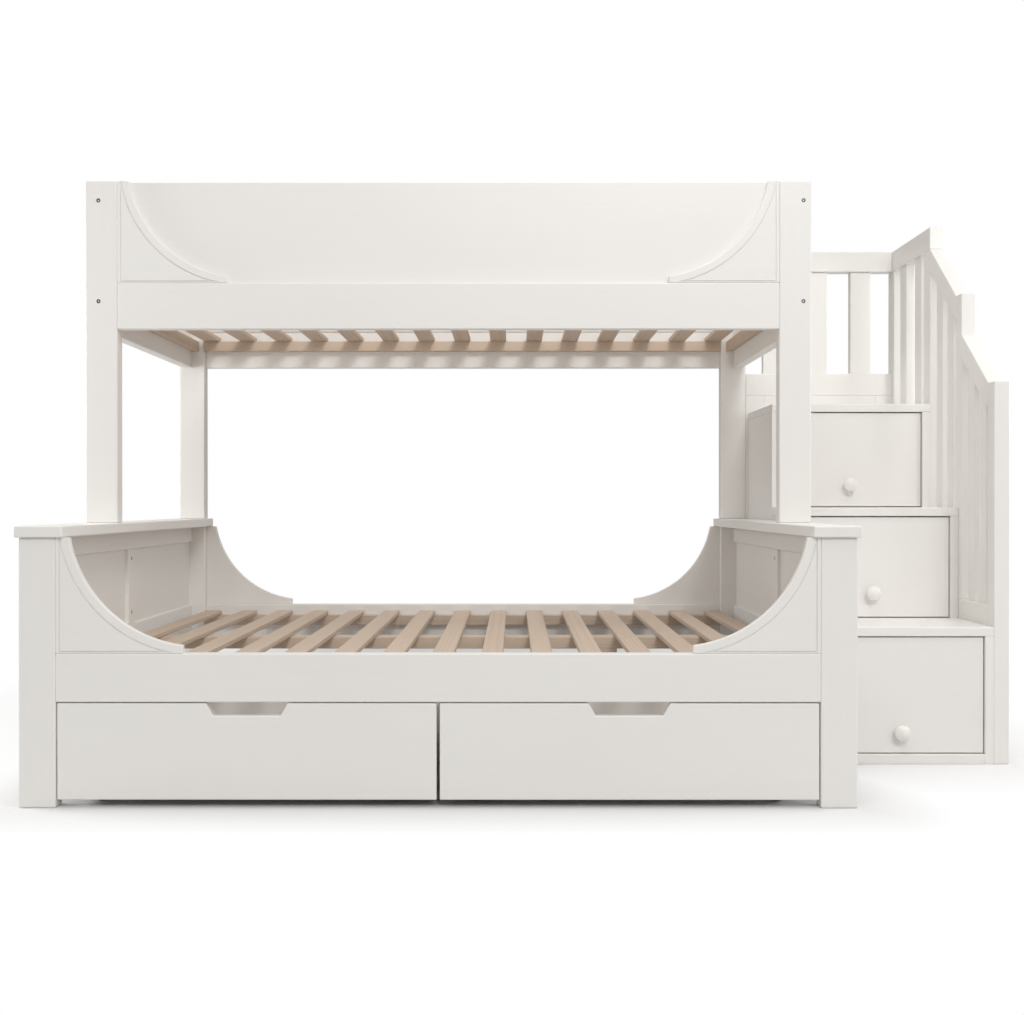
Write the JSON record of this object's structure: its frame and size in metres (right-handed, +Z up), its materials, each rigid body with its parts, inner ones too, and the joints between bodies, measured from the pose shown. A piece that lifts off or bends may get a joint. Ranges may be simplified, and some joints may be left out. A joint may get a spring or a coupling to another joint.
{
  "type": "bunk bed with storage stairs",
  "caption": "Bunk bed with a wide lower bed and a narrow upper bed, storage stairs with flap doors and a handrail, and underbed drawers on castors.",
  "frame": {"origin": "centre of the bottom of the whole object's bounding box, on the floor", "axes": "+X along the beds towards the stairs, +Y from the front towards the wall, +Z up"},
  "size_m": [2.683, 1.44, 1.687],
  "materials": {
    "warm_white_paint": "satin warm-white paint on wood",
    "pine": "bare pine, planed",
    "steel": "zinc-plated steel",
    "wheel_plastic": "dark matt plastic"
  },
  "bodies": {
    "root": {"lower_front_left_leg": "warm_white_paint", "lower_front_right_leg": "warm_white_paint", "lower_rear_left_leg": "warm_white_paint", "lower_rear_right_leg": "warm_white_paint", "lower_end_rails": "warm_white_paint", "lower_end_stiles": "warm_white_paint", "lower_end_panels": "warm_white_paint", "cap_shelves": "warm_white_paint", "lower_front_rail": "warm_white_paint", "lower_rear_rail": "warm_white_paint", "lower_wings": "warm_white_paint", "lower_slat_ledgers": "pine", "centre_beam": "pine", "lower_slats": "pine", "upper_front_left_post": "warm_white_paint", "upper_front_right_post": "warm_white_paint", "upper_rear_left_post": "warm_white_paint", "upper_rear_right_post": "warm_white_paint", "upper_front_rail": "warm_white_paint", "upper_rear_rail": "warm_white_paint", "upper_front_guard": "warm_white_paint", "upper_rear_guard": "warm_white_paint", "upper_wings": "warm_white_paint", "upper_end_rails": "warm_white_paint", "upper_end_panels": "warm_white_paint", "access_post": "warm_white_paint", "upper_slat_ledgers": "pine", "upper_slats": "pine", "frame_bolts": "steel", "stair_left_side": "warm_white_paint", "stair_right_side": "warm_white_paint", "stair_plinth": "warm_white_paint", "stair_floors": "warm_white_paint", "stair_back": "warm_white_paint", "lower_tread": "warm_white_paint", "middle_tread": "warm_white_paint", "upper_tread": "warm_white_paint", "door_pivot_pins": "steel", "handrail_posts": "warm_white_paint", "handrail_bottom_rail": "warm_white_paint", "handrail_rails": "warm_white_paint", "handrail_balusters": "warm_white_paint", "back_railing": "warm_white_paint"},
    "left_drawer": {"left_drawer_front": "warm_white_paint", "left_drawer_box": "warm_white_paint", "left_drawer_castor_brackets": "steel"},
    "left_drawer_front_wheels": {"left_drawer_front_wheels": "wheel_plastic"},
    "left_drawer_rear_wheels": {"left_drawer_rear_wheels": "wheel_plastic"},
    "right_drawer": {"right_drawer_front": "warm_white_paint", "right_drawer_box": "warm_white_paint", "right_drawer_castor_brackets": "steel"},
    "right_drawer_front_wheels": {"right_drawer_front_wheels": "wheel_plastic"},
    "right_drawer_rear_wheels": {"right_drawer_rear_wheels": "wheel_plastic"},
    "lower_flap": {"lower_door": "warm_white_paint", "lower_door_knob": "warm_white_paint"},
    "middle_flap": {"middle_door": "warm_white_paint", "middle_door_knob": "warm_white_paint"},
    "upper_flap": {"upper_door": "warm_white_paint", "upper_door_knob": "warm_white_paint"}
  },
  "joints": [
    {"name": "left_drawer_slide", "type": "slide", "parent": "root", "child": "left_drawer", "axis": [0, -1, 0], "range_m": [0, 0.6]},
    {"name": "left_drawer_front_roll", "type": "hinge", "parent": "left_drawer", "child": "left_drawer_front_wheels", "pos_m": [-0.7655, -0.626, 0.025], "axis": [1, 0, 0], "continuous": true},
    {"name": "left_drawer_rear_roll", "type": "hinge", "parent": "left_drawer", "child": "left_drawer_rear_wheels", "pos_m": [-0.7655, -0.1003, 0.025], "axis": [1, 0, 0], "continuous": true},
    {"name": "right_drawer_slide", "type": "slide", "parent": "root", "child": "right_drawer", "axis": [0, -1, 0], "range_m": [0, 0.6]},
    {"name": "right_drawer_front_roll", "type": "hinge", "parent": "right_drawer", "child": "right_drawer_front_wheels", "pos_m": [0.1885, -0.626, 0.025], "axis": [1, 0, 0], "continuous": true},
    {"name": "right_drawer_rear_roll", "type": "hinge", "parent": "right_drawer", "child": "right_drawer_rear_wheels", "pos_m": [0.1885, -0.1003, 0.025], "axis": [1, 0, 0], "continuous": true},
    {"name": "lower_flap_hinge", "type": "hinge", "parent": "root", "child": "lower_flap", "pos_m": [1.0275, -0.21, 0.356], "axis": [-1, 0, 0], "range_deg": [0, 90]},
    {"name": "middle_flap_hinge", "type": "hinge", "parent": "root", "child": "middle_flap", "pos_m": [1.0275, 0.057, 0.703], "axis": [-1, 0, 0], "range_deg": [0, 90]},
    {"name": "upper_flap_hinge", "type": "hinge", "parent": "root", "child": "upper_flap", "pos_m": [1.0275, 0.307, 1.05], "axis": [-1, 0, 0], "range_deg": [0, 90]}
  ],
  "couplings": [
    {"joint": "left_drawer_front_roll", "follows": "left_drawer_slide", "rad_per_m": 40},
    {"joint": "left_drawer_rear_roll", "follows": "left_drawer_slide", "rad_per_m": 40},
    {"joint": "right_drawer_front_roll", "follows": "right_drawer_slide", "rad_per_m": 40},
    {"joint": "right_drawer_rear_roll", "follows": "right_drawer_slide", "rad_per_m": 40}
  ]
}
